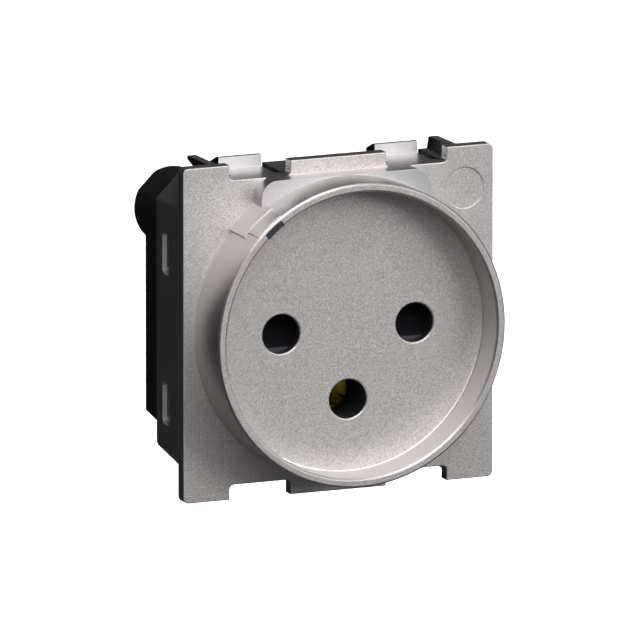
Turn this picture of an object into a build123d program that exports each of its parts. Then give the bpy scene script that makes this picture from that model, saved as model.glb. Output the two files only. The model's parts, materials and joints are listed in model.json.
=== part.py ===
from build123d import *
from math import atan2, degrees
import os

# Snap-in wall socket for the Israeli three-pin plug, two modules wide.
# Origin: centre of the recess floor, where the face of a plug comes to rest.
# -Y points out of the wall to the user, +Z is up, +X is the user's right. Millimetres.

# Plug pins
PIN_PITCH = 19.0          # line to neutral
EARTH_DROP = 9.5          # earth below the line and neutral row
PIN_LENGTH = 19.0
PIN_R = 2.0

# Face plate
PLATE_W = 44.2
PLATE_H = 45.0
PLATE_T = 1.8
PLATE_SETBACK = 3.3       # plate front behind the recess floor
PLATE_CORNER_R = 0.75
PLATE_EDGE_R = 0.12
NOTCH_CENTRE = 11.15      # the notches and the snap tongues share this line
NOTCH_W = 8.7
NOTCH_DEPTH = 2.0
NOTCH_R = 0.6
MARK_R = 2.8              # shallow bare disc near the top right corner
MARK_DEPTH = 0.15
MARK_X = 18.0
MARK_Z = 16.8

# Collar and plug recess
CUP_R = 19.25
CUP_DEPTH = 4.9
COLLAR_WALL = 1.2         # round the recess
FLOOR_T = 1.3
CAVITY_WALL = 1.45        # collar wall behind the floor
RIM_EDGE = 0.25
PIN_HOLE_R = 2.6
PIN_HOLE_EDGE = 0.2
PAD_HALF_W = 12.0         # raised pad between collar and top edge
PAD_H = 2.6
PAD_R = 2.3

# Stepped tab on the collar and the dark insert in its rim, angles from +X
TAB_ANGLES = (123.4, 138.2)
TAB_PROUD = 0.45
TAB_LENGTH = 4.8
TAB_FRONT_ANGLES = (124.0, 135.8)
TAB_FRONT_PROUD = 0.2
INSERT_ANGLES = (125.0, 133.5)
INSERT_T = 0.85
INSERT_DEPTH = 2.9
INSERT_R = 0.3

# Skirt behind the plate
SKIRT_DEPTH = 7.5
SKIRT_WALL = 1.85
SKIRT_CUT_TOP = 3.6
SKIRT_CUT_BOTTOM = 4.3
SKIRT_EDGE_R = 1.0
WINDOW_H = 5.8
WINDOW_W = 2.55
WINDOW_Z = 10.1
WINDOW_R = 0.8
WINDOW_REAR = 2.1         # window's rear edge in front of the skirt's rear edge
TONGUE_W = 6.1
TONGUE_T = 1.3
SLIT_W = 1.05
SLIT_START = 0.6          # slits begin this far behind the plate
HOOK_H = 1.6
HOOK_FLAT = 0.7
HOOK_CATCH = 5.2          # catch face behind the plate, the grip on the frame
HOOK_LENGTH = 3.0
HOOK_END_H = 0.6
FIN_INNER = 16.5
FIN_T = 1.2
FIN_LEAN = 0.6            # rear end leans forward from the skirt's rear edge
FIN_R = 0.4
FIN_DROP_TOP = 0.1        # fin below the plate's edge, top pair
FIN_DROP_BOTTOM = 0.7     # the same, bottom pair
FIN_END_DROP = 0.15
BARB_ROOT = 3.0           # underside of the top left fin leaves the roof this far behind the plate
BARB_TIP_H = 0.5

# Rear base
FIT = 0.2                 # clearance of the base and carrier in the skirt
BASE_HALF_H = 17.6
BASE_WALL = 1.5
PIN_ROOM = 0.95           # past the tip of a pin, to the base's inner back wall
BASE_CUT = 3.95
PARTITION_T = 1.2
LUG_SINK = 0.63           # snap lug below the skirt's outside
LUG_PLAY = 0.25

# Screw terminals
LINE_TERMINAL = (15.2, 13.1)      # mirrored for neutral
EARTH_TERMINAL = (10.5, -11.5)
BARREL_R = 5.3
BARREL_FLAT = 5.06        # flat on the outer corner, from the barrel's axis
BARREL_PROUD = 2.85       # barrel behind the base
CHAMBER_R = 4.0
CHAMBER_DEPTH = 9.0
WELL_R = 3.2
WIRE_GAP = 2.4
WIRE_W = 6.0
SCREW_R = 1.75
SCREW_HEAD_R = 2.7
SCREW_HEAD_H = 2.4
SCREW_HEAD_EDGE = 0.4
SCREW_SLOT_W = 0.8
SCREW_SLOT_DEPTH = 1.1
SCREW_TIP = 0.5           # screw past the nut
SCREW_TURN = 30           # where the slots came to rest, degrees
THREAD_FIT = 0.01
SCREW_PASS = 0.2          # clearance of the screw in tail and washer
WASHER_W = 5.4
WASHER_T = 1.2
WASHER_R = 1.0
NUT_W = 5.6
NUT_T = 3.0

# Contacts
STRIP_T = 0.7
TAIL_T = 0.8
TAIL_W = 5.6
TAIL_FROM_BACK = 5.0      # tail's rear face in front of the base's inner back wall
PIN_GRIP = 0.05           # radial room between pin and leaf
LEAF_H = 3.8              # leaf past the pin's axis, down to the shelf
LEAF_MOUTH = 0.65         # flare of each leaf at its mouth
LEAF_FLARE = 2.0
LEAF_START = 1.4          # leaf mouth behind the carrier
WEB_Z = 2.6
WEB_LENGTH = 5.5
LEAF_END = 2.45           # leaf's end in front of the base's inner back wall

# Contact carrier and shutter
CARRIER_T = 1.7
CARRIER_HOLE_R = 2.6
SLEEVE_WALL = 0.7         # round the earth pin's way from the floor to the carrier
RUN = 0.3                 # running clearance round the shutter
RAIL_T = 1.2
RAIL_BELOW = 1.7          # rail past the shutter's lowest place
BLADE_HALF_W = 3.3
BLADE_HALF_H = 3.2
BLADE_EDGE_T = 0.8
RAMP_START = 1.0          # ramp's foot above the blade's lower edge
BRIDGE_T = 1.2
BRIDGE_BOTTOM = -0.3      # clear of the sleeve at full travel
SHUTTER_TRAVEL = 5.6
SPRING_R = 1.1
SPRING_WIRE_R = 0.2
SPRING_LENGTH = 10.2
SPRING_TURNS = 6
SPRING_WIRE_SIDES = 5     # thin wire, drawn with flats
SEAT_T = 1.2
SEAT_W = 4.0

# Levels along Y and Z that several pieces share
RIM_Y = -CUP_DEPTH
PLATE_BACK = PLATE_SETBACK + PLATE_T
SKIRT_BACK = PLATE_BACK + SKIRT_DEPTH
CARRIER_BACK = PLATE_BACK + CARRIER_T
BASE_INNER = PIN_LENGTH + PIN_ROOM
BASE_BACK = BASE_INNER + BASE_WALL
BARREL_BACK = BASE_BACK + BARREL_PROUD
TAIL_BACK = BASE_INNER - TAIL_FROM_BACK
TAIL_FRONT = TAIL_BACK - TAIL_T
WASHER_FRONT = TAIL_BACK + WIRE_GAP
HEAD_FRONT = WASHER_FRONT + WASHER_T
NUT_FRONT = TAIL_FRONT - NUT_T
HALF_W = PLATE_W / 2
ROOF_Z = PLATE_H / 2 - NOTCH_DEPTH
COLLAR_R = CUP_R + COLLAR_WALL
CAVITY_R = COLLAR_R - CAVITY_WALL
RIM_MIDDLE_R = (CUP_R + COLLAR_R) / 2
PIN_X = PIN_PITCH / 2
SHUTTER_FRONT = FLOOR_T + RUN
SHUTTER_BACK = PLATE_BACK - RUN
SPRING_FOOT = -BLADE_HALF_H - SPRING_LENGTH
PINS = {"line": (-PIN_X, 0.0), "neutral": (PIN_X, 0.0), "earth": (0.0, -EARTH_DROP)}
TERMINALS = {
    "line": (-LINE_TERMINAL[0], LINE_TERMINAL[1]),
    "neutral": LINE_TERMINAL,
    "earth": EARTH_TERMINAL,
}
# Turn of each contact about Y: its web faces its terminal, up or to the right.
CONTACT_TURN = {"line": 0, "neutral": 0, "earth": 90}


def prism(profile, front, back):
    """A profile drawn in X and Z, filled from Y = front to Y = back."""
    return extrude(Plane.XZ.offset(-back) * profile, amount=back - front)


def bar(profile, left, right):
    """A profile drawn in Y and Z, filled from X = left to X = right."""
    return extrude(Plane.YZ.offset(left) * profile, amount=right - left)


def block(x, y, z):
    """A box from three (low, high) pairs."""
    size = [high - low for low, high in (x, y, z)]
    middle = [(high + low) / 2 for low, high in (x, y, z)]
    return Pos(*middle) * Box(*size)


def area(x, z):
    """A rectangle in X and Z from two (low, high) pairs."""
    middle = Pos((x[0] + x[1]) / 2, (z[0] + z[1]) / 2)
    return middle * Rectangle(x[1] - x[0], z[1] - z[0])


def arc_band(r_inner, r_outer, angles):
    """A piece of a ring between two radii and two angles."""
    start, end = angles
    inner = CenterArc((0, 0), r_inner, start, end - start)
    outer = CenterArc((0, 0), r_outer, start, end - start)
    sides = [Line(inner @ 0, outer @ 0), Line(inner @ 1, outer @ 1)]
    return make_face([inner, outer, *sides])


def both_sides(shape):
    """The shape and its mirror image across the X = 0 plane."""
    return [shape, mirror(shape, about=Plane.YZ)]


def four_ways(shape, middle=Plane.XY):
    """The shape mirrored left to right, and top to bottom across the middle plane."""
    return [copy for half in both_sides(shape) for copy in (half, mirror(half, about=middle))]


def skirt_outline():
    """The skirt's outside: a rectangle as wide as the plate with its corners cut off."""
    outline = Rectangle(PLATE_W, 2 * ROOF_Z)
    outline = chamfer(outline.vertices().group_by(Axis.Y)[-1], SKIRT_CUT_TOP)
    outline = chamfer(outline.vertices().group_by(Axis.Y)[0], SKIRT_CUT_BOTTOM)
    return fillet(outline.vertices(), SKIRT_EDGE_R)


def skirt_inside():
    return offset(skirt_outline(), -SKIRT_WALL)


def plate():
    """The square face with two notches in its top edge and two in its bottom edge."""
    outline = RectangleRounded(PLATE_W, PLATE_H, PLATE_CORNER_R)
    notch = Pos(NOTCH_CENTRE, PLATE_H / 2) * RectangleRounded(NOTCH_W, 2 * NOTCH_DEPTH, NOTCH_R)
    for cut in four_ways(notch, Plane.XZ):
        outline -= cut
    face = prism(outline, PLATE_SETBACK, PLATE_BACK)
    return fillet(face.faces().sort_by(Axis.Y)[0].outer_wire().edges(), PLATE_EDGE_R)


def collar():
    """The turned form: rim, recess, floor and the hollow behind the floor."""
    corners = [
        (0, 0),
        (CUP_R, 0),
        (CUP_R, RIM_Y),
        (COLLAR_R, RIM_Y),
        (COLLAR_R, PLATE_BACK),
        (CAVITY_R, PLATE_BACK),
        (CAVITY_R, FLOOR_T),
        (0, FLOOR_T),
    ]
    section = make_face(Polyline(*corners, close=True))
    section = chamfer(section.vertices().group_by(Axis.Y)[0], RIM_EDGE)
    return revolve(section, Axis.Y)


def tongue():
    """Snap tongue at the top right: a strip of the roof with a ramped hook on its free end."""
    under = ROOF_Z - TONGUE_T
    top = ROOF_Z + HOOK_H
    catch = PLATE_BACK + HOOK_CATCH
    end = catch + HOOK_LENGTH
    side = [
        (PLATE_BACK, under),
        (end, under),
        (end, ROOF_Z + HOOK_END_H),
        (catch + HOOK_FLAT, top),
        (catch, top),
        (catch, ROOF_Z),
        (PLATE_BACK, ROOF_Z),
    ]
    profile = make_face(Polyline(*side, close=True))
    return bar(profile, NOTCH_CENTRE - TONGUE_W / 2, NOTCH_CENTRE + TONGUE_W / 2)


def tongue_slot():
    """What is cut out of the roof to free the tongue."""
    half = TONGUE_W / 2 + SLIT_W
    return block(
        (NOTCH_CENTRE - half, NOTCH_CENTRE + half),
        (PLATE_BACK + SLIT_START, SKIRT_BACK + SLIT_W),
        (ROOF_Z - SKIRT_WALL - TONGUE_T, ROOF_Z + SLIT_W),
    )


def fin(drop):
    """Upright fin that backs the plate's corner at the top right."""
    top = PLATE_H / 2 - drop
    side = [
        (PLATE_BACK, ROOF_Z),
        (PLATE_BACK, top),
        (SKIRT_BACK - FIN_LEAN, top - FIN_END_DROP),
        (SKIRT_BACK, ROOF_Z),
    ]
    profile = make_face(Polyline(*side, close=True))
    rear_corner = profile.vertices().sort_by_distance(side[2])[0]
    return bar(fillet(rear_corner, FIN_R), FIN_INNER, FIN_INNER + FIN_T)


def barb():
    """The fin at the top left, which is undercut and ends in a blunt point."""
    top = PLATE_H / 2 - FIN_DROP_TOP
    tip = top - FIN_END_DROP
    side = [
        (PLATE_BACK, ROOF_Z),
        (PLATE_BACK, top),
        (SKIRT_BACK, tip),
        (SKIRT_BACK, tip - BARB_TIP_H),
        (PLATE_BACK + BARB_ROOT, ROOF_Z),
    ]
    profile = make_face(Polyline(*side, close=True))
    return bar(profile, -FIN_INNER - FIN_T, -FIN_INNER)


def stepped_tab():
    """The two-step tab on the outside of the collar, up to the rim."""
    step = PLATE_SETBACK - TAB_LENGTH
    back_step = arc_band(RIM_MIDDLE_R, COLLAR_R + TAB_PROUD, TAB_ANGLES)
    front_step = arc_band(RIM_MIDDLE_R, COLLAR_R + TAB_FRONT_PROUD, TAB_FRONT_ANGLES)
    return prism(back_step, step, PLATE_SETBACK) + prism(front_step, RIM_Y + RIM_EDGE, step)


def insert_profile(r_inner):
    """The rim insert's outline with its outer corners rounded."""
    band = arc_band(r_inner, CUP_R + INSERT_T, INSERT_ANGLES)
    outer_corners = band.vertices().sort_by_distance((0, 0))[-2:]
    return fillet(outer_corners, INSERT_R)


def snap_window(z):
    """Cut through both sides of the skirt that takes a lug of the base."""
    middle = Pos(SKIRT_BACK - WINDOW_REAR - WINDOW_W / 2, z)
    return bar(middle * RectangleRounded(WINDOW_W, WINDOW_H, WINDOW_R), -PLATE_W, PLATE_W)


def pin_hole(x, z):
    """Cut for a plug pin through the recess floor, with a bevelled mouth."""
    mouth = Cone(PIN_HOLE_R, PIN_HOLE_R + PIN_HOLE_EDGE, PIN_HOLE_EDGE)
    mouth = Pos(x, PIN_HOLE_EDGE / 2, z) * Rot(X=90) * mouth
    return prism(Pos(x, z) * Circle(PIN_HOLE_R), 0, FLOOR_T) + mouth


def front_cover():
    """The one-piece grey moulding that shows in the wall."""
    cover = plate() + prism(skirt_outline() - skirt_inside(), PLATE_BACK, SKIRT_BACK)
    pad = Pos(0, ROOF_Z / 2) * Rectangle(2 * PAD_HALF_W, ROOF_Z)
    pad = fillet(pad.vertices().group_by(Axis.Y)[-1], PAD_R)
    cover += prism(pad, PLATE_SETBACK - PAD_H, PLATE_SETBACK)
    for slot in four_ways(tongue_slot()):
        cover -= slot
    lower_fin = mirror(fin(FIN_DROP_BOTTOM), about=Plane.XY)
    fins = [fin(FIN_DROP_TOP), barb(), *both_sides(lower_fin)]
    for piece in four_ways(tongue()) + fins:
        cover += piece
    cover -= prism(Circle(RIM_MIDDLE_R), RIM_Y, PLATE_BACK)
    cover = cover + collar() + stepped_tab()
    cover -= prism(insert_profile(CUP_R - INSERT_T), RIM_Y, RIM_Y + INSERT_DEPTH)
    cover -= snap_window(WINDOW_Z) + snap_window(-WINDOW_Z)
    for x, z in PINS.values():
        cover -= pin_hole(x, z)
    mark = Pos(MARK_X, MARK_Z) * Circle(MARK_R)
    return cover - prism(mark, PLATE_SETBACK, PLATE_SETBACK + MARK_DEPTH)


def rim_insert():
    """Dark insert let into the inner edge of the rim."""
    return prism(insert_profile(CUP_R), RIM_Y, RIM_Y + INSERT_DEPTH)


def carrier_outline():
    return offset(skirt_inside(), -FIT)


def contact_carrier():
    """Black plate behind the recess floor: closes the base, guides the shutter and the earth pin."""
    carrier = prism(carrier_outline(), PLATE_BACK, CARRIER_BACK)
    rail_in = PIN_X + BLADE_HALF_W + RUN
    rail_foot = -BLADE_HALF_H - SHUTTER_TRAVEL - RAIL_BELOW
    stop = BLADE_HALF_H + RUN
    depth = (FLOOR_T, PLATE_BACK)
    rail = block((rail_in, rail_in + RAIL_T), depth, (rail_foot, stop + RAIL_T))
    seat = block((PIN_X - SEAT_W / 2, PIN_X + SEAT_W / 2), depth, (SPRING_FOOT - SEAT_T, SPRING_FOOT))
    for piece in both_sides(rail) + both_sides(seat):
        carrier += piece
    carrier += block((-rail_in, rail_in), depth, (stop, stop + RAIL_T))
    carrier += prism(Pos(*PINS["earth"]) * Circle(CARRIER_HOLE_R + SLEEVE_WALL), *depth)
    for x, z in PINS.values():
        carrier -= prism(Pos(x, z) * Circle(CARRIER_HOLE_R), FLOOR_T, CARRIER_BACK)
    return carrier


def shutter():
    """Sprung slider with a ramped blade behind the line and the neutral hole."""
    side = [
        (SHUTTER_BACK, -BLADE_HALF_H),
        (SHUTTER_FRONT, -BLADE_HALF_H),
        (SHUTTER_FRONT, -BLADE_HALF_H + RAMP_START),
        (SHUTTER_BACK - BLADE_EDGE_T, BLADE_HALF_H),
        (SHUTTER_BACK, BLADE_HALF_H),
    ]
    blade = bar(make_face(Polyline(*side, close=True)), PIN_X - BLADE_HALF_W, PIN_X + BLADE_HALF_W)
    left, right = both_sides(blade)
    inner = PIN_X - BLADE_HALF_W
    depth = (SHUTTER_BACK - BRIDGE_T, SHUTTER_BACK)
    return left + block((-inner, inner), depth, (BRIDGE_BOTTOM, BLADE_HALF_H)) + right


def shutter_spring(x):
    """Coil spring between the carrier's seat and the lower edge of a blade."""
    coil_h = SPRING_LENGTH - 2 * SPRING_WIRE_R
    helix = Helix(coil_h / SPRING_TURNS, coil_h, SPRING_R)
    wire = Plane(origin=helix @ 0, z_dir=helix % 0) * RegularPolygon(SPRING_WIRE_R, SPRING_WIRE_SIDES)
    middle = (SHUTTER_FRONT + SHUTTER_BACK) / 2
    return Pos(x, middle, SPRING_FOOT + SPRING_WIRE_R) * sweep(wire, path=helix, is_frenet=True)


def base_rear_outline():
    outline = Rectangle(PLATE_W - 2 * (SKIRT_WALL + FIT), 2 * BASE_HALF_H)
    return chamfer(outline.vertices(), BASE_CUT)


def barrel(name):
    """Round tower behind a terminal; the top two have a flat on their outer corner."""
    x, z = TERMINALS[name]
    profile = Circle(BARREL_R)
    if z > 0:
        turn = 45 if x > 0 else 135
        beyond = Pos(BARREL_FLAT + BARREL_R, 0) * Rectangle(2 * BARREL_R, 2 * BARREL_R)
        profile -= Rot(Z=turn) * beyond
    return prism(Pos(x, z) * profile, SKIRT_BACK, BARREL_BACK)


def rooms():
    """The base's compartments, drawn in X and Z: line, neutral, earth and a spare one."""
    inside = offset(base_rear_outline(), -BASE_WALL)
    far = PLATE_W
    half = PARTITION_T / 2
    shelf = -LEAF_H
    under = shelf - PARTITION_T
    return [
        inside & area((-far, -half), (shelf, far)),
        inside & area((half, far), (shelf, far)),
        inside & area((-LEAF_H, far), (-far, under)),
        inside & area((-far, -LEAF_H - PARTITION_T), (-far, under)),
    ]


def base():
    """Black rear housing: fits inside the skirt, snaps into its windows, holds the terminals."""
    front = carrier_outline() & area((-PLATE_W, PLATE_W), (-BASE_HALF_H, BASE_HALF_H))
    body = prism(front, CARRIER_BACK, SKIRT_BACK) + prism(base_rear_outline(), SKIRT_BACK, BASE_BACK)
    for name in TERMINALS:
        body += barrel(name)
    for room in rooms():
        body -= prism(room, CARRIER_BACK, BASE_INNER)
    for x, z in TERMINALS.values():
        centre = Pos(x, z)
        body -= prism(centre * Circle(CHAMBER_R), BASE_INNER - CHAMBER_DEPTH, BASE_INNER)
        body -= prism(centre * Circle(WELL_R), BASE_INNER, BARREL_BACK)
        outward = (z, z + PLATE_H) if z > 0 else (z - PLATE_H, z)
        body -= block((x - WIRE_W / 2, x + WIRE_W / 2), (TAIL_BACK, WASHER_FRONT), outward)
    rear = SKIRT_BACK - WINDOW_REAR
    lug = block(
        (HALF_W - SKIRT_WALL - FIT, HALF_W - LUG_SINK),
        (rear - WINDOW_W + LUG_PLAY, rear),
        (WINDOW_Z - WINDOW_H / 2 + WINDOW_R, WINDOW_Z + WINDOW_H / 2 - WINDOW_R),
    )
    for piece in four_ways(lug):
        body += piece
    return body


def contact(name):
    """Brass fork: two flared leaves that grip the pin, joined by a web, and a tail to the terminal."""
    pin = PINS[name]
    terminal = TERMINALS[name]
    turn = CONTACT_TURN[name]
    mouth = CARRIER_BACK + LEAF_START
    throat = mouth + LEAF_FLARE
    end = BASE_INNER - LEAF_END
    grip = PIN_R + PIN_GRIP
    leaf_plan = [
        (grip + LEAF_MOUTH, mouth),
        (grip, throat),
        (grip, end),
        (grip + STRIP_T, end),
        (grip + STRIP_T, throat),
        (grip + LEAF_MOUTH + STRIP_T, mouth),
    ]
    leaf_face = Plane.XY.offset(-LEAF_H) * make_face(Polyline(*leaf_plan, close=True))
    leaf = extrude(leaf_face, amount=LEAF_H + WEB_Z + STRIP_T)
    left, right = both_sides(leaf)
    web = block((-grip, grip), (end - WEB_LENGTH, end), (WEB_Z, WEB_Z + STRIP_T))
    fork = Pos(pin[0], 0, pin[1]) * Rot(Y=turn) * (left + web + right)
    root = Vector(0, WEB_Z + TAIL_W / 2).rotate(Axis.Z, -turn) + Vector(*pin)
    run = Vector(*terminal) - root
    lie = Pos((root.X + terminal[0]) / 2, (root.Y + terminal[1]) / 2)
    slope = degrees(atan2(run.Y, run.X))
    strip = lie * Rot(Z=slope) * SlotCenterToCenter(run.length, TAIL_W)
    strip -= Pos(*terminal) * Circle(SCREW_R + SCREW_PASS)
    return fork + prism(strip, TAIL_FRONT, TAIL_BACK)


def terminal_nut(name):
    profile = Rectangle(NUT_W, NUT_W) - Circle(SCREW_R + THREAD_FIT)
    return prism(Pos(*TERMINALS[name]) * profile, NUT_FRONT, TAIL_FRONT)


def clamp_washer(name):
    profile = RectangleRounded(WASHER_W, WASHER_W, WASHER_R) - Circle(SCREW_R + SCREW_PASS)
    return prism(Pos(*TERMINALS[name]) * profile, WASHER_FRONT, HEAD_FRONT)


def terminal_screw(name):
    """Slotted cheese-head screw, driven from the back."""
    x, z = TERMINALS[name]
    head = prism(Circle(SCREW_HEAD_R), HEAD_FRONT, HEAD_FRONT + SCREW_HEAD_H)
    head = chamfer(head.edges().group_by(Axis.Y)[-1], SCREW_HEAD_EDGE)
    rear = HEAD_FRONT + SCREW_HEAD_H
    across = SCREW_SLOT_W / 2
    head -= block((-SCREW_HEAD_R, SCREW_HEAD_R), (rear - SCREW_SLOT_DEPTH, rear), (-across, across))
    shank = prism(Circle(SCREW_R), NUT_FRONT - SCREW_TIP, HEAD_FRONT)
    return Pos(x, 0, z) * Rot(Y=SCREW_TURN) * (head + shank)


def all_nodes():
    nodes = {
        "front_cover": front_cover(),
        "rim_insert": rim_insert(),
        "contact_carrier": contact_carrier(),
        "shutter": shutter(),
        "shutter_spring_left": shutter_spring(-PIN_X),
        "shutter_spring_right": shutter_spring(PIN_X),
        "rear_base": base(),
    }
    for name in TERMINALS:
        nodes[f"{name}_contact"] = contact(name)
        nodes[f"{name}_nut"] = terminal_nut(name)
        nodes[f"{name}_washer"] = clamp_washer(name)
        nodes[f"{name}_screw"] = terminal_screw(name)
    return nodes


os.makedirs("parts", exist_ok=True)
for node, shape in all_nodes().items():
    export_step(shape, f"parts/{node}.step")
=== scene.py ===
import json
from math import cos, pi, radians, sin
import bpy
from mathutils import Matrix, Vector


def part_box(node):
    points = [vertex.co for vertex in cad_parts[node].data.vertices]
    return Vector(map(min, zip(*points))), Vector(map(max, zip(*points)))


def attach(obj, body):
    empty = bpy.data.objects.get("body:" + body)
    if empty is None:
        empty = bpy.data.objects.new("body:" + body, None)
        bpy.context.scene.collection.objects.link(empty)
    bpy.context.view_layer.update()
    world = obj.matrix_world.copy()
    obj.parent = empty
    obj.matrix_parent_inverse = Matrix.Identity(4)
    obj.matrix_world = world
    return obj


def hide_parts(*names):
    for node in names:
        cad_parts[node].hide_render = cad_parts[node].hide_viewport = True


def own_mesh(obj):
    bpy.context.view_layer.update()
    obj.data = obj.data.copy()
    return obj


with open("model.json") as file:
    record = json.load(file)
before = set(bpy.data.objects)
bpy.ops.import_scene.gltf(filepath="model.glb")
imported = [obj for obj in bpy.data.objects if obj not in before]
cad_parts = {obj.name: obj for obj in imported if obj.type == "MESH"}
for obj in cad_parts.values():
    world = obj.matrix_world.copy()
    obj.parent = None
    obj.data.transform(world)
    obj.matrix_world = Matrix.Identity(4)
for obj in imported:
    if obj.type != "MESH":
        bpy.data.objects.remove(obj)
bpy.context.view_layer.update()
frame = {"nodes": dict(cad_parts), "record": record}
node = frame["nodes"]
MM = 0.001

# Front cover: one plastic moulding with face plate, round collar and recess, the skirt behind and
# four tongues that snap into the wall frame, painted satin grey with metal flakes. Faces across the
# draw of the mould are grainy; the drawn walls, the pad and the hooks are smooth.

COVER_GREY = (0.70, 0.671, 0.664)
# Painted highlight: the smooth faces, hooks and pad, get a lighter and more neutral grey.
SMOOTH_HIGHLIGHT_GREY = (0.80, 0.793, 0.80)
COVER_METAL = 0.92
COVER_EDGE = 0.14 * MM
HOOK_EDGE = 0.03 * MM
FRONT_ROUGH = 0.52
WALL_ROUGH = 0.36
CORNER_ROUGH = 0.36
# Painted shade: faces turned away from the front, the drawn walls, are made darker.
WALL_SHADE_TONE = 0.79
FACING_POWER = 6.0
FLAKES_PER_M = 9500.0
FLAKE_TONE = 0.4
FLAKE_TILT = 0.11
WALL_GRAIN = 0.12
CORNER_GRAIN = 0.15
GRAIN_DEPTH = 0.02 * MM
GRAIN_BACK = 6.0 * MM
COVER_CLOUDS_PER_M = 120.0
COVER_CLOUD_TONE = 0.06
CLOUD_DETAIL = 3.0
PAD_FRONT = 0.7 * MM
PAD_BAND = 0.15 * MM
# Painted shade: the pad's smooth face is darkened, against the painted highlight of the smooth
# grey.
PAD_SHADE_TONE = 0.78
# Painted shade on the upright walls in the notches.
NOTCH_BACK = 5.1 * MM
NOTCH_REACH = 18.5 * MM
NOTCH_SHADE_TONE = 0.2
# Painted shade on the walls of the pin holes.
BORE_FRONT = 0.12 * MM
BORE_REACH = 15.0 * MM
BORE_SHADE_TONE = 0.25
FILLET_R = 0.22 * MM
FILLET_SINK = 0.004 * MM
FILLET_STEPS = 8
FILLET_TURNS = 180


def shader_group(name, inputs, outputs):
    """An empty shader node group with number inputs, and outputs of the kinds Float or Vector."""
    group = bpy.data.node_groups.new(name, "ShaderNodeTree")
    for label, value in inputs.items():
        socket = group.interface.new_socket(label, in_out="INPUT", socket_type="NodeSocketFloat")
        socket.default_value = value
    for label, kind in outputs.items():
        group.interface.new_socket(label, in_out="OUTPUT", socket_type="NodeSocket" + kind)
    return group, group.nodes.new("NodeGroupInput"), group.nodes.new("NodeGroupOutput")


def feed(tree, value, socket):
    """Links a socket, or sets a plain value."""
    if isinstance(value, bpy.types.NodeSocket):
        tree.links.new(value, socket)
    else:
        socket.default_value = value


def math_node(tree, operation, *values):
    """A math node whose inputs are sockets or plain numbers; returns its output socket."""
    step = tree.nodes.new("ShaderNodeMath")
    step.operation = operation
    for value, socket in zip(values, step.inputs):
        feed(tree, value, socket)
    return step.outputs["Value"]


def product(tree, first, *others):
    """The product of sockets and numbers, as a socket."""
    for other in others:
        first = math_node(tree, "MULTIPLY", first, other)
    return first


def blend(tree, mask, off, on):
    """The number off where the mask is 0, and on where it is 1."""
    return math_node(tree, "MULTIPLY_ADD", mask, on - off, off)


def around_one(tree, value, amount):
    """Turns a value between 0 and 1 into a tone about 1, swinging by the amount."""
    return math_node(tree, "MULTIPLY_ADD", math_node(tree, "SUBTRACT", value, 0.5), amount, 1.0)


def vector_parts(tree, vector):
    """The X, Y and Z of a vector socket."""
    parts = tree.nodes.new("ShaderNodeSeparateXYZ")
    tree.links.new(vector, parts.inputs["Vector"])
    return parts.outputs


def place_in_frame(tree):
    """The point's place in the shared frame, in metres."""
    return tree.nodes.new("ShaderNodeTexCoord").outputs["Object"]


def facing(tree):
    """The X, Y and Z of the flat face's normal."""
    return vector_parts(tree, tree.nodes.new("ShaderNodeNewGeometry").outputs["True Normal"])


def texture(tree, kind, scale, stretch=(1, 1, 1)):
    """A 3-D texture that stays with the piece; the scale is a socket, in repeats per metre."""
    shape = tree.nodes.new("ShaderNodeMapping")
    shape.inputs["Scale"].default_value = stretch
    pattern = tree.nodes.new(kind)
    tree.links.new(place_in_frame(tree), shape.inputs["Vector"])
    tree.links.new(shape.outputs["Vector"], pattern.inputs["Vector"])
    tree.links.new(scale, pattern.inputs["Scale"])
    return pattern


def vector_node(tree, operation, *values):
    """A vector math node whose inputs are sockets or plain vectors."""
    step = tree.nodes.new("ShaderNodeVectorMath")
    step.operation = operation
    for value, socket in zip(values, step.inputs):
        feed(tree, value, socket)
    return step


def scaled(tree, vector, factor):
    """A vector or colour times a factor, as a socket."""
    step = vector_node(tree, "SCALE", vector)
    feed(tree, factor, step.inputs["Scale"])
    return step.outputs["Vector"]


def build_moulded_grain():
    """Grain with flakes, less on drawn walls, on faces beyond Back and in the band at Band."""
    inputs = {"Scale": 5000.0, "Tone": 0.3, "Tilt": 0.0, "Wall Share": 0.2, "Back": 1.0,
              "Band": 1.0}
    outputs = {"Height": "Float", "Tone": "Float", "Tilt": "Vector", "Front": "Float",
               "Eroded": "Float"}
    group, start, end = shader_group("moulded_grain", inputs, outputs)
    across = math_node(group, "ABSOLUTE", facing(group)["Y"])
    front = math_node(group, "POWER", across, FACING_POWER)
    depth = vector_parts(group, place_in_frame(group))["Y"]
    ahead = math_node(group, "LESS_THAN", depth, start.outputs["Back"])
    band = math_node(group, "COMPARE", depth, start.outputs["Band"], PAD_BAND)
    eroded = product(group, front, ahead, math_node(group, "SUBTRACT", 1.0, band))
    drawn = math_node(group, "SUBTRACT", 1.0, eroded)
    share = math_node(group, "MULTIPLY_ADD", drawn, start.outputs["Wall Share"], eroded)
    grain = texture(group, "ShaderNodeTexNoise", start.outputs["Scale"])
    specks = texture(group, "ShaderNodeTexVoronoi", start.outputs["Scale"]).outputs["Color"]
    speck = group.nodes.new("ShaderNodeSeparateColor")
    group.links.new(specks, speck.inputs["Color"])
    swing = product(group, share, start.outputs["Tone"])
    tone = around_one(group, speck.outputs["Red"], swing)
    middle = vector_node(group, "SUBTRACT", specks, (0.5, 0.5, 0.5)).outputs["Vector"]
    tilt = scaled(group, middle, product(group, share, start.outputs["Tilt"]))
    group.links.new(product(group, grain.outputs["Fac"], share), end.inputs["Height"])
    group.links.new(tone, end.inputs["Tone"])
    group.links.new(tilt, end.inputs["Tilt"])
    group.links.new(front, end.inputs["Front"])
    group.links.new(eroded, end.inputs["Eroded"])
    return group


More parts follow.
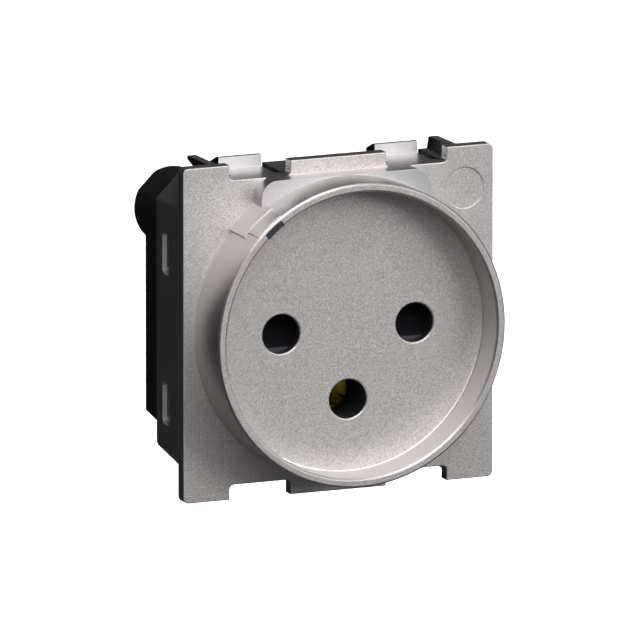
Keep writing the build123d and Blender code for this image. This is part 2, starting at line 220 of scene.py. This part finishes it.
def build_flow_cloud():
    """Broad, faint unevenness of a moulded or rolled surface, as a tone about 1."""
    inputs = {"Scale": 150.0, "Amount": 0.05}
    group, start, end = shader_group("flow_cloud", inputs, {"Tone": "Float"})
    cloud = texture(group, "ShaderNodeTexNoise", start.outputs["Scale"])
    cloud.inputs["Detail"].default_value = CLOUD_DETAIL
    tone = around_one(group, cloud.outputs["Fac"], start.outputs["Amount"])
    group.links.new(tone, end.inputs["Tone"])
    return group


moulded_grain = build_moulded_grain()
flow_cloud = build_flow_cloud()


def new_material(name):
    """A material with a bare Principled shader: returns it, its tree and the shader."""
    material = bpy.data.materials.new(name)
    material.use_nodes = True
    return material, material.node_tree, material.node_tree.nodes["Principled BSDF"]


def place_group(tree, group, **values):
    """The outputs of a group in a material, with its inputs set; underscores stand for spaces."""
    placed = tree.nodes.new("ShaderNodeGroup")
    placed.node_tree = group
    for label, value in values.items():
        placed.inputs[label.replace("_", " ")].default_value = value
    return placed.outputs


def tint(tree, shader, colour, *tones):
    """Feeds a colour, plain or a socket, times tones about 1 to the shader's base colour."""
    tree.links.new(scaled(tree, colour, product(tree, *tones)), shader.inputs["Base Color"])


def bump(tree, shader, height, depth, edge=None, tilt=None):
    """Feeds the normal: a height times depth metres, edges eased by a radius, tilted flakes."""
    relief = tree.nodes.new("ShaderNodeBump")
    relief.inputs["Distance"].default_value = depth
    tree.links.new(height, relief.inputs["Height"])
    if edge is not None:
        ease = tree.nodes.new("ShaderNodeBevel")
        feed(tree, edge, ease.inputs["Radius"])
        tree.links.new(ease.outputs["Normal"], relief.inputs["Normal"])
    normal = relief.outputs["Normal"]
    if tilt is not None:
        lean = vector_node(tree, "ADD", normal, tilt).outputs["Vector"]
        normal = vector_node(tree, "NORMALIZE", lean).outputs["Vector"]
    tree.links.new(normal, shader.inputs["Normal"])


def dress(piece, material):
    """Gives a piece or a CAD node its one material."""
    piece.data.materials.clear()
    piece.data.materials.append(material)


def painted_bore_shade(tree, place):
    """Painted shade: a tone that darkens the pin holes' walls and the rest of the cover behind the
    recess floor's front, near the middle.
    """
    across = math_node(tree, "MULTIPLY", place["X"], place["X"])
    reach = math_node(tree, "MULTIPLY_ADD", place["Z"], place["Z"], across)
    inner = math_node(tree, "LESS_THAN", math_node(tree, "SQRT", reach), BORE_REACH)
    deep = math_node(tree, "GREATER_THAN", place["Y"], BORE_FRONT)
    return blend(tree, product(tree, inner, deep), 1.0, BORE_SHADE_TONE)


def painted_notch_shade(tree, place):
    """Painted shade: a tone that darkens the upright walls in the notches, behind the plate."""
    normal = facing(tree)
    upright = math_node(tree, "MULTIPLY", normal["X"], normal["X"])
    behind = math_node(tree, "GREATER_THAN", place["Y"], NOTCH_BACK)
    inner = math_node(tree, "LESS_THAN", math_node(tree, "ABSOLUTE", place["X"]), NOTCH_REACH)
    return blend(tree, product(tree, upright, behind, inner), 1.0, NOTCH_SHADE_TONE)


def build_satin_grey():
    material, tree, shader = new_material("satin_grey")
    grain = place_group(tree, moulded_grain, Scale=FLAKES_PER_M, Tone=FLAKE_TONE, Tilt=FLAKE_TILT,
                        Wall_Share=WALL_GRAIN, Back=GRAIN_BACK, Band=PAD_FRONT)
    cloud = place_group(tree, flow_cloud, Scale=COVER_CLOUDS_PER_M, Amount=COVER_CLOUD_TONE)
    place = vector_parts(tree, place_in_frame(tree))
    front = grain["Front"]
    smooth = math_node(tree, "SUBTRACT", front, grain["Eroded"])
    # Painted highlight: the smooth faces take the lighter, neutral grey.
    grey = tree.nodes.new("ShaderNodeMix")
    grey.data_type = "RGBA"
    grey.inputs["A"].default_value = (*COVER_GREY, 1)
    grey.inputs["B"].default_value = (*SMOOTH_HIGHLIGHT_GREY, 1)
    tree.links.new(smooth, grey.inputs["Factor"])
    # Painted shade on the drawn walls.
    wall_shade = blend(tree, front, WALL_SHADE_TONE, 1.0)
    # Painted shade on the pad's smooth face.
    pad = math_node(tree, "COMPARE", place["Y"], PAD_FRONT, PAD_BAND)
    pad_shade = blend(tree, product(tree, pad, smooth), 1.0, PAD_SHADE_TONE)
    tint(tree, shader, grey.outputs["Result"], grain["Tone"], cloud["Tone"], wall_shade, pad_shade,
         painted_bore_shade(tree, place), painted_notch_shade(tree, place))
    rough = blend(tree, front, WALL_ROUGH, FRONT_ROUGH)
    tree.links.new(product(tree, rough, cloud["Tone"]), shader.inputs["Roughness"])
    shader.inputs["Metallic"].default_value = COVER_METAL
    hooks = math_node(tree, "GREATER_THAN", place["Y"], GRAIN_BACK)
    edge = blend(tree, hooks, COVER_EDGE, HOOK_EDGE)
    bump(tree, shader, grain["Height"], GRAIN_DEPTH, edge, grain["Tilt"])
    return material


def build_polished_grey():
    """The same grey in the recess's corner, where the mould's cutter leaves it smooth."""
    material, tree, shader = new_material("polished_grey")
    grain = place_group(tree, moulded_grain, Scale=FLAKES_PER_M, Tone=FLAKE_TONE,
                        Wall_Share=CORNER_GRAIN)
    cloud = place_group(tree, flow_cloud, Scale=COVER_CLOUDS_PER_M, Amount=COVER_CLOUD_TONE)
    tint(tree, shader, COVER_GREY, grain["Tone"], cloud["Tone"])
    tree.links.new(product(tree, cloud["Tone"], CORNER_ROUGH), shader.inputs["Roughness"])
    shader.inputs["Metallic"].default_value = COVER_METAL
    bump(tree, shader, grain["Height"], GRAIN_DEPTH)
    return material


def build_recess_fillet():
    """The small round in the recess's corner, as a closed ring let into floor and wall."""
    mounts = frame["record"]["mounts"]
    recess = next(mount for mount in mounts if mount["name"] == "plug_recess")
    wall = recess["dims"]["r_mm"] * MM
    centre_r = wall - FILLET_R + FILLET_SINK
    centre_y = FILLET_SINK - FILLET_R
    steps = [pi / 2 * step / FILLET_STEPS for step in range(FILLET_STEPS + 1)]
    section = [(centre_r + FILLET_R * sin(a), centre_y + FILLET_R * cos(a)) for a in steps]
    section.append((wall + FILLET_SINK, FILLET_SINK))
    turns = [2 * pi * turn / FILLET_TURNS for turn in range(FILLET_TURNS)]
    points = [(r * cos(turn), y, r * sin(turn)) for turn in turns for r, y in section]
    faces = []
    for turn in range(FILLET_TURNS):
        here = turn * len(section)
        there = (turn + 1) % FILLET_TURNS * len(section)
        for step in range(len(section)):
            after = (step + 1) % len(section)
            faces.append((here + step, here + after, there + after, there + step))
    mesh = bpy.data.meshes.new("recess_fillet")
    mesh.from_pydata(points, [], faces)
    mesh.polygons.foreach_set("use_smooth", [True] * len(faces))
    ring = bpy.data.objects.new("recess_fillet", mesh)
    bpy.context.scene.collection.objects.link(ring)
    return ring


dress(node["front_cover"], build_satin_grey())
recess_fillet = build_recess_fillet()
dress(recess_fillet, build_polished_grey())
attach(recess_fillet, "housing")

# Rim insert: a slim tab of smooth dark plastic, pressed into a pocket in the inner edge of the
# collar's rim, flush with the rim's face and with the recess wall.

INSERT_SMOKE = (0.045, 0.047, 0.055)
INSERT_ROUGH = 0.3
INSERT_EDGE = 0.05 * MM
INSERT_GRAIN_DEPTH = 0.004 * MM
INSERT_GRAIN = {"Scale": 6000.0, "Tone": 0.1, "Wall_Share": 1.0}
INSERT_CLOUD = {"Scale": 900.0, "Amount": 0.2}


def build_plastic(name, colour, rough, grain_values, cloud_values, depth, edge, painted_light=None):
    """Moulded plastic with grain and clouds, and a further tone, painted light, if the last
    argument builds one.
    """
    material, tree, shader = new_material(name)
    grain = place_group(tree, moulded_grain, **grain_values)
    cloud = place_group(tree, flow_cloud, **cloud_values)
    tones = [grain["Tone"], cloud["Tone"]]
    if painted_light:
        tones.append(painted_light(tree))
    tint(tree, shader, colour, *tones)
    tree.links.new(product(tree, cloud["Tone"], rough), shader.inputs["Roughness"])
    bump(tree, shader, grain["Height"], depth, edge)
    return material


smoke_plastic = build_plastic("smoke_plastic", INSERT_SMOKE, INSERT_ROUGH, INSERT_GRAIN,
                              INSERT_CLOUD, INSERT_GRAIN_DEPTH, INSERT_EDGE)
dress(node["rim_insert"], smoke_plastic)

# Contact carrier: a plate moulded in black plastic, behind the recess floor. It closes the base,
# holds the contacts in their rooms, leads the earth pin through a sleeve and carries the rails that
# the shutter slides on.

BLACK = (0.010, 0.010, 0.0105)
BLACK_ROUGH = 0.55
BLACK_EDGE = 0.15 * MM
BLACK_GRAIN_DEPTH = 0.03 * MM
BLACK_GRAIN = {"Scale": 5000.0, "Tone": 0.4, "Wall_Share": 0.6}
BLACK_CLOUD = {"Scale": 140.0, "Amount": 0.3}

black_plastic = build_plastic("black_plastic", BLACK, BLACK_ROUGH, BLACK_GRAIN, BLACK_CLOUD,
                              BLACK_GRAIN_DEPTH, BLACK_EDGE)
dress(node["contact_carrier"], black_plastic)

# Shutter: a slider moulded in dull black plastic, with a ramped blade behind the line and the
# neutral hole. Pins push it down the carrier's rails against two springs. The foot of each ramp
# is painted lighter: a painted highlight where light falls on it through the hole.

SHUTTER_BLACK = (0.005, 0.005, 0.006)
# Painted highlight: the foot of each ramp is made lighter, below a given height.
SHUTTER_LIT_FOOT_TONE = 12.0
SHUTTER_ROUGH = 0.8
SHUTTER_SHINE = 0.05
SHUTTER_EDGE = 0.1 * MM
SHUTTER_GRAIN_DEPTH = 0.02 * MM
SHUTTER_GRAIN = {"Scale": 5000.0, "Tone": 0.3, "Wall_Share": 1.0}
SHUTTER_CLOUD = {"Scale": 400.0, "Amount": 0.3}
LIT_FOOT_TOP = -2.0 * MM
LIT_FOOT_BLUR = 0.25 * MM


def painted_lit_foot(tree):
    """Painted highlight: a tone that lightens the shutter below a given height, at the foot of the
    ramps.
    """
    foot_light = tree.nodes.new("ShaderNodeMapRange")
    foot_light.inputs["From Min"].default_value = LIT_FOOT_TOP
    foot_light.inputs["From Max"].default_value = LIT_FOOT_TOP - LIT_FOOT_BLUR
    foot_light.inputs["To Min"].default_value = 1.0
    foot_light.inputs["To Max"].default_value = SHUTTER_LIT_FOOT_TONE
    tree.links.new(vector_parts(tree, place_in_frame(tree))["Z"], foot_light.inputs["Value"])
    return foot_light.outputs["Result"]


shutter_plastic = build_plastic("shutter_plastic", SHUTTER_BLACK, SHUTTER_ROUGH, SHUTTER_GRAIN,
                                SHUTTER_CLOUD, SHUTTER_GRAIN_DEPTH, SHUTTER_EDGE, painted_lit_foot)
shutter_shader = shutter_plastic.node_tree.nodes["Principled BSDF"]
shutter_shader.inputs["Specular IOR Level"].default_value = SHUTTER_SHINE
dress(node["shutter"], shutter_plastic)

# Shutter springs: two coils of bright drawn steel wire between the carrier's seats and the lower
# edges of the blades. Drawing leaves fine streaks and a slightly uneven shine.

SPRING_STEEL = (0.55, 0.55, 0.56)
SPRING_ROUGH = 0.3
SPRING_UNEVEN = 0.2
METAL_EDGE = 0.08 * MM
METAL_CLOUDS_PER_M = 700.0
STREAKS_PER_M = 7000.0
STREAK_TONE = 0.25
STREAK_DEPTH = 0.006 * MM
STREAK_STRETCH = (1, 0.05, 1)


def build_streaks():
    """Fine streaks along Y from rolling or drawing: a height and a tone about 1."""
    inputs = {"Scale": 6000.0, "Amount": 0.1}
    outputs = {"Height": "Float", "Tone": "Float"}
    group, start, end = shader_group("streaks", inputs, outputs)
    lines = texture(group, "ShaderNodeTexNoise", start.outputs["Scale"], STREAK_STRETCH)
    tone = around_one(group, lines.outputs["Fac"], start.outputs["Amount"])
    group.links.new(lines.outputs["Fac"], end.inputs["Height"])
    group.links.new(tone, end.inputs["Tone"])
    return group


streaks = build_streaks()


def build_metal(name, colour, rough, uneven):
    """Bare or plated metal: streaked, with cloudy patches in colour and shine."""
    material, tree, shader = new_material(name)
    lines = place_group(tree, streaks, Scale=STREAKS_PER_M, Amount=STREAK_TONE)
    cloud = place_group(tree, flow_cloud, Scale=METAL_CLOUDS_PER_M, Amount=uneven)
    tint(tree, shader, colour, lines["Tone"], cloud["Tone"])
    uneven_rough = product(tree, lines["Tone"], cloud["Tone"], rough)
    tree.links.new(uneven_rough, shader.inputs["Roughness"])
    shader.inputs["Metallic"].default_value = 1.0
    bump(tree, shader, lines["Height"], STREAK_DEPTH, METAL_EDGE)
    return material


spring_steel = build_metal("spring_steel", SPRING_STEEL, SPRING_ROUGH, SPRING_UNEVEN)


def build_coil(side):
    """A copy of one spring that rides with the housing, in place of the hidden CAD node."""
    spring = "shutter_spring_" + side
    dress(node[spring], spring_steel)
    coil = bpy.data.objects.new("coil_" + side, node[spring].data.copy())
    bpy.context.scene.collection.objects.link(coil)
    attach(coil, "housing")
    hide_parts(spring)
    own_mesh(coil)


for side in ("left", "right"):
    build_coil(side)

# Rear base: the black moulded housing behind, in the carrier's material. It fits inside the skirt,
# snaps into the skirt's windows by its lugs and has a round tower behind each of three terminals.

dress(node["rear_base"], black_plastic)

# Contacts and terminal nuts: three forks stamped and bent from brass strip, with two flared leaves
# that grip the pin and a tail that runs to the terminal. The square nuts in front of the tails are
# sawn from brass bar. Both are dull from rolling and darkened in patches.

TERMINALS = ("line", "neutral", "earth")
BRASS = (0.84, 0.62, 0.09)
BRASS_ROUGH = 0.5
BRASS_UNEVEN = 1.0

contact_brass = build_metal("contact_brass", BRASS, BRASS_ROUGH, BRASS_UNEVEN)
for terminal in TERMINALS:
    dress(node[terminal + "_contact"], contact_brass)
    dress(node[terminal + "_nut"], contact_brass)

# Clamp washers and terminal screws: zinc-plated steel. The washers are stamped; the slotted
# cheese-head screws have an M3.5 thread, are driven from the back and clamp the wire.

ZINC = (0.60, 0.60, 0.62)
ZINC_ROUGH = 0.35
ZINC_UNEVEN = 0.25
THREAD_PITCH = 0.6 * MM
THREAD_DEPTH = 0.25 * MM
HEAD_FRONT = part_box("line_washer")[1].y


def build_screw_steel():
    """The plating, with the thread's ridges up to the underside of the head."""
    material, tree, shader = new_material("screw_steel")
    lines = place_group(tree, streaks, Scale=STREAKS_PER_M, Amount=STREAK_TONE)
    cloud = place_group(tree, flow_cloud, Scale=METAL_CLOUDS_PER_M, Amount=ZINC_UNEVEN)
    tint(tree, shader, ZINC, lines["Tone"], cloud["Tone"])
    tree.links.new(product(tree, cloud["Tone"], ZINC_ROUGH), shader.inputs["Roughness"])
    shader.inputs["Metallic"].default_value = 1.0
    depth = vector_parts(tree, place_in_frame(tree))["Y"]
    ridge = math_node(tree, "PINGPONG", depth, THREAD_PITCH / 2)
    ridge = math_node(tree, "DIVIDE", ridge, THREAD_PITCH / 2)
    shank = math_node(tree, "LESS_THAN", depth, HEAD_FRONT)
    bump(tree, shader, product(tree, ridge, shank), THREAD_DEPTH, METAL_EDGE)
    return material


plated_steel = build_metal("plated_steel", ZINC, ZINC_ROUGH, ZINC_UNEVEN)
screw_steel = build_screw_steel()
for terminal in TERMINALS:
    dress(node[terminal + "_washer"], plated_steel)
    dress(node[terminal + "_screw"], screw_steel)

# Studio: a plain pale floor far below the socket, which hangs free as it does in a wall frame. Soft
# boxes above and to the right light its face, a small lamp by the camera the pin holes, one behind
# the base. One lamp whitens the floor in the camera's view; past it the world is white.

FLOOR_PALE = (0.9, 0.9, 0.9, 1)
FLOOR_ROUGH = 0.9
FLOOR_Z = -3.0
FLOOR_HALF = 24.0
BOX_FAR = 0.9
BOXES = (  # name, turn and rise in degrees, width in metres, power in watts
    ("top_box", -9, 49, 1.2, 9.4),
    ("right_box", 46, 25, 0.75, 4.5),
    ("hole_lamp", -22, 8, 0.15, 1.0),
    ("rear_box", 140, -10, 0.5, 3.0),
)
WASH_TURN = 157.4
WASH_FAR = 13.7
WASH_HIGH = 1.2
WASH_SIZE = 3.8
WASH_POWER = 105.0
WORLD_WHITE = (1, 1, 1, 1)
WORLD_GLOW = 0.006
WHITE_BELOW = -0.14


def build_floor():
    low, high = -FLOOR_HALF, FLOOR_HALF
    corners = [(x, y, FLOOR_Z) for x, y in ((low, low), (high, low), (high, high), (low, high))]
    mesh = bpy.data.meshes.new("floor")
    mesh.from_pydata(corners, [], [(0, 1, 2, 3)])
    floor = bpy.data.objects.new("floor", mesh)
    bpy.context.scene.collection.objects.link(floor)
    material, _, shader = new_material("pale_floor")
    shader.inputs["Base Color"].default_value = FLOOR_PALE
    shader.inputs["Roughness"].default_value = FLOOR_ROUGH
    dress(floor, material)


def direction(turn, rise):
    """Unit vector turned to the right of straight ahead of the face, then up, in degrees."""
    turn, rise = radians(turn), radians(rise)
    return Vector((sin(turn) * cos(rise), -cos(turn) * cos(rise), sin(rise)))


def soft_box(name, place, aim, size, power):
    """A round area lamp that the camera doesn't see, turned to its aim."""
    lamp = bpy.data.lights.new(name, "AREA")
    lamp.shape = "DISK"
    lamp.size = size
    lamp.energy = power
    holder = bpy.data.objects.new(name, lamp)
    holder.location = place
    holder.rotation_euler = (aim - place).to_track_quat("-Z", "Y").to_euler()
    holder.visible_camera = False
    bpy.context.scene.collection.objects.link(holder)


def build_floor_wash():
    """The lamp over the distant floor that the camera sees behind the socket."""
    spot = WASH_FAR * direction(WASH_TURN, 0) + Vector((0, 0, FLOOR_Z))
    soft_box("floor_wash", spot + Vector((0, 0, WASH_HIGH)), spot, WASH_SIZE, WASH_POWER)


def build_world():
    """A dim glow, white to the camera all round, and to mirror and glass below the floor's edge."""
    world = bpy.data.worlds.new("studio")
    world.use_nodes = True
    tree = world.node_tree
    ray = tree.nodes.new("ShaderNodeLightPath").outputs
    mirrored = math_node(tree, "MAXIMUM", ray["Is Glossy Ray"], ray["Is Transmission Ray"])
    towards = vector_parts(tree, tree.nodes.new("ShaderNodeTexCoord").outputs["Generated"])
    below = math_node(tree, "LESS_THAN", towards["Z"], WHITE_BELOW)
    white = math_node(tree, "MAXIMUM", ray["Is Camera Ray"], product(tree, mirrored, below))
    back = tree.nodes["Background"]
    back.inputs["Color"].default_value = WORLD_WHITE
    tree.links.new(blend(tree, white, WORLD_GLOW, 1.0), back.inputs["Strength"])
    bpy.context.scene.world = world


build_floor()
for name, turn, rise, size, power in BOXES:
    soft_box(name, BOX_FAR * direction(turn, rise), Vector((0, 0, 0)), size, power)
build_floor_wash()
build_world()

# Camera: far off with a long lens, to the left of the socket and a little above it. It looks past
# the middle of the plate's front by a small shift, as the photograph is framed.

VIEW_TURN = -22.6
VIEW_RISE = 12.244
VIEW_FAR = 2.874
VIEW_RIGHT = -2.437 * MM
VIEW_UP = 0.462 * MM
PLATE_FRONT = (0, 3.3 * MM, 0)
LENS = 1227.3
SENSOR = 36
CLIP_END = 40


def build_camera():
    back = direction(VIEW_TURN, VIEW_RISE)
    right = Vector((cos(radians(VIEW_TURN)), sin(radians(VIEW_TURN)), 0))
    up = back.cross(right)
    data = bpy.data.cameras.new("camera")
    data.sensor_width = SENSOR
    data.lens = LENS
    data.clip_end = CLIP_END
    camera = bpy.data.objects.new("camera", data)
    camera.matrix_world = Matrix((right, up, back)).transposed().to_4x4()
    camera.location = Vector(PLATE_FRONT) + VIEW_FAR * back + VIEW_RIGHT * right + VIEW_UP * up
    bpy.context.scene.collection.objects.link(camera)
    bpy.context.scene.camera = camera


build_camera()
bpy.context.scene.view_settings.view_transform = "Standard"
